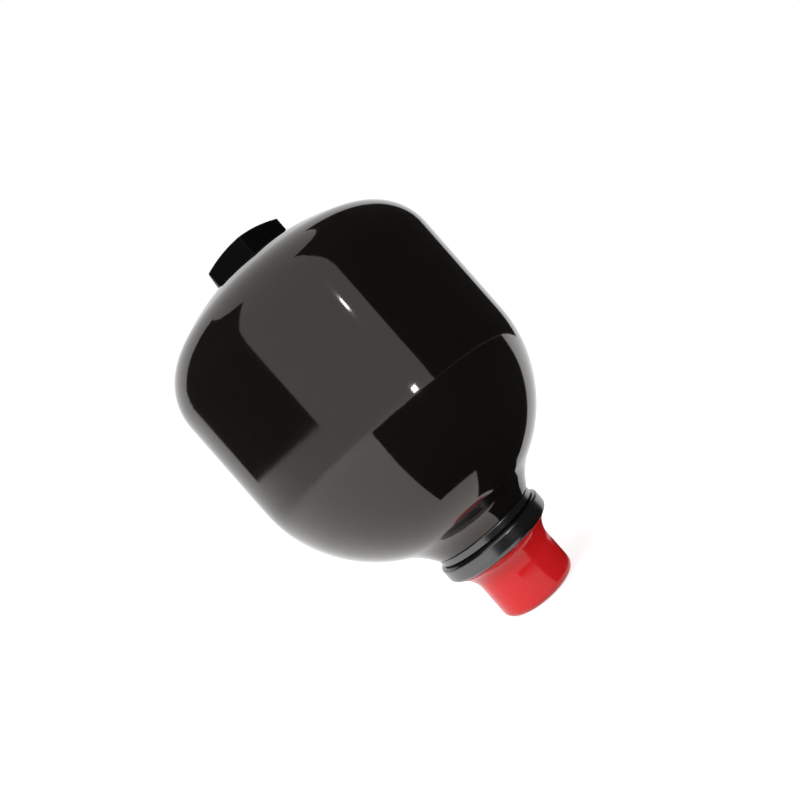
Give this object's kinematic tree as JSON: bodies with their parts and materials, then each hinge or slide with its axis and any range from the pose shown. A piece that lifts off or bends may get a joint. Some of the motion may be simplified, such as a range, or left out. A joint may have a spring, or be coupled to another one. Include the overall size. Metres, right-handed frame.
{
  "type": "hydraulic accumulator",
  "caption": "Compact bladder accumulator for a transmission circuit: domed black steel shell, hexagon gas valve cap, ringed oil port with poppet valve and a red pull-off thread cap.",
  "frame": {"origin": "centre of the red thread cap's flat end, on which the accumulator stands", "axes": "+Z along the shell's axis, from the oil port up to the gas valve; +X and +Y are alike apart from the hexagon cap's turn"},
  "size_m": [0.114, 0.114, 0.1675],
  "materials": {
    "gloss_black_paint": "gloss black paint over forged steel",
    "black_oxide": "matt black oxide",
    "phosphated_steel": "satin dark phosphate, oiled",
    "machined_steel": "turned steel, zinc plated",
    "spring_steel": "drawn spring wire",
    "valve_brass": "turned brass",
    "bush_bronze": "sintered bronze",
    "bag_rubber": "moulded nitrile rubber",
    "seal_rubber": "smooth nitrile rubber",
    "backup_plastic": "off-white low-friction plastic",
    "red_cap_plastic": "semi-gloss moulded polyethylene"
  },
  "bodies": {
    "root": {"shell": "gloss_black_paint", "bladder": "bag_rubber", "bladder_stem": "machined_steel", "gas_valve_body": "machined_steel", "gas_valve_o_ring": "seal_rubber", "valve_core_body": "valve_brass", "valve_core_spring": "spring_steel", "port_body": "machined_steel", "poppet_bush": "bush_bronze", "poppet_spring": "spring_steel", "anti_extrusion_ring": "bag_rubber", "port_seal_washer": "machined_steel", "port_o_ring": "seal_rubber", "port_backup_ring": "backup_plastic", "spacer_ring": "phosphated_steel", "lock_nut": "phosphated_steel"},
    "poppet": {"poppet": "machined_steel", "poppet_stop_nut": "machined_steel"},
    "valve_core_pin": {"valve_core_pin": "valve_brass", "valve_core_seal": "seal_rubber"},
    "cap_lift": {"gas_cap_seal": "seal_rubber"},
    "gas_cap": {"gas_cap": "black_oxide"},
    "port_cap": {"port_cap": "red_cap_plastic"}
  },
  "joints": [
    {"name": "poppet_lift", "type": "slide", "parent": "root", "child": "poppet", "axis": [0, 0, -1], "range_m": [0, 0.005], "stiffness_N_per_m": 800, "springref_m": -0.01, "deforming": ["poppet_spring"]},
    {"name": "valve_core_press", "type": "slide", "parent": "root", "child": "valve_core_pin", "axis": [0, 0, -1], "range_m": [0, 0.001], "stiffness_N_per_m": 400, "springref_m": -0.0015, "deforming": ["valve_core_spring"]},
    {"name": "gas_cap_rise", "type": "slide", "parent": "root", "child": "cap_lift", "axis": [0, 0, 1], "range_m": [0, 0.0075]},
    {"name": "gas_cap_turn", "type": "hinge", "parent": "cap_lift", "child": "gas_cap", "pos_m": [0, 0, 0.163], "axis": [0, 0, 1], "range_deg": [0, 1800]},
    {"name": "port_cap_pull", "type": "slide", "parent": "root", "child": "port_cap", "axis": [0, 0, -1], "range_m": [0, 0.04]}
  ],
  "couplings": [
    {"joint": "gas_cap_rise", "follows": "gas_cap_turn", "m_per_rad": 0.00023873}
  ]
}
